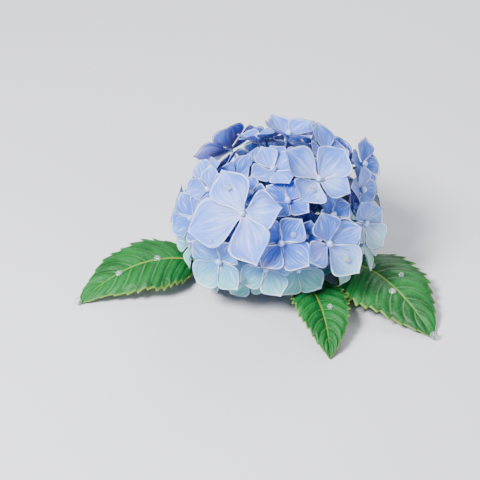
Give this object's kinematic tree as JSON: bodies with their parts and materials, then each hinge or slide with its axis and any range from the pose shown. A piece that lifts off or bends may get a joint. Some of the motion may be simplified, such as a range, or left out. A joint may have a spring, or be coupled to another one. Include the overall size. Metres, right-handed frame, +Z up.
{
  "type": "cut hydrangea flower head",
  "caption": "Cut blue mophead hydrangea: a dome of overlapping florets on a short branched stem, with toothed green leaves and dew drops, resting on a surface.",
  "frame": {"origin": "centre of the footprint of the whole piece, on the surface that it rests on", "axes": "+Z up from the surface, +X along the longest extent from the tip of the left leaf to the tip of the right leaf, -Y towards the side shown by the front leaf"},
  "size_m": [0.2302, 0.1756, 0.1012],
  "materials": {
    "sepal": "soft petal: periwinkle and sky blue with near-white rims, fading to pale green-blue low on the head",
    "leaf": "glossy fresh leaf green with paler veins",
    "stem": "smooth pale green living stem",
    "dew": "clear water"
  },
  "bodies": {
    "root": {"dew_front_1": "dew", "dew_left_1": "dew", "dew_left_2": "dew", "dew_right_1": "dew", "dew_right_2": "dew", "dew_right_3": "dew", "floret_01": "sepal", "floret_02": "sepal", "floret_03": "sepal", "floret_04": "sepal", "floret_05": "sepal", "floret_06": "sepal", "floret_07": "sepal", "floret_08": "sepal", "floret_09": "sepal", "floret_10": "sepal", "floret_11": "sepal", "floret_12": "sepal", "floret_13": "sepal", "floret_14": "sepal", "floret_15": "sepal", "floret_16": "sepal", "floret_17": "sepal", "floret_18": "sepal", "floret_19": "sepal", "floret_20": "sepal", "floret_21": "sepal", "floret_22": "sepal", "floret_23": "sepal", "floret_24": "sepal", "floret_25": "sepal", "floret_26": "sepal", "floret_27": "sepal", "floret_28": "sepal", "floret_29": "sepal", "floret_30": "sepal", "floret_31": "sepal", "floret_32": "sepal", "floret_33": "sepal", "floret_34": "sepal", "floret_35": "sepal", "floret_36": "sepal", "floret_37": "sepal", "floret_38": "sepal", "floret_39": "sepal", "floret_40": "sepal", "floret_41": "sepal", "floret_42": "sepal", "floret_43": "sepal", "floret_44": "sepal", "floret_45": "sepal", "floret_46": "sepal", "floret_47": "sepal", "floret_48": "sepal", "floret_49": "sepal", "floret_50": "sepal", "leaf_front": "leaf", "leaf_left": "leaf", "leaf_right": "leaf", "stem": "stem"}
  },
  "joints": []
}
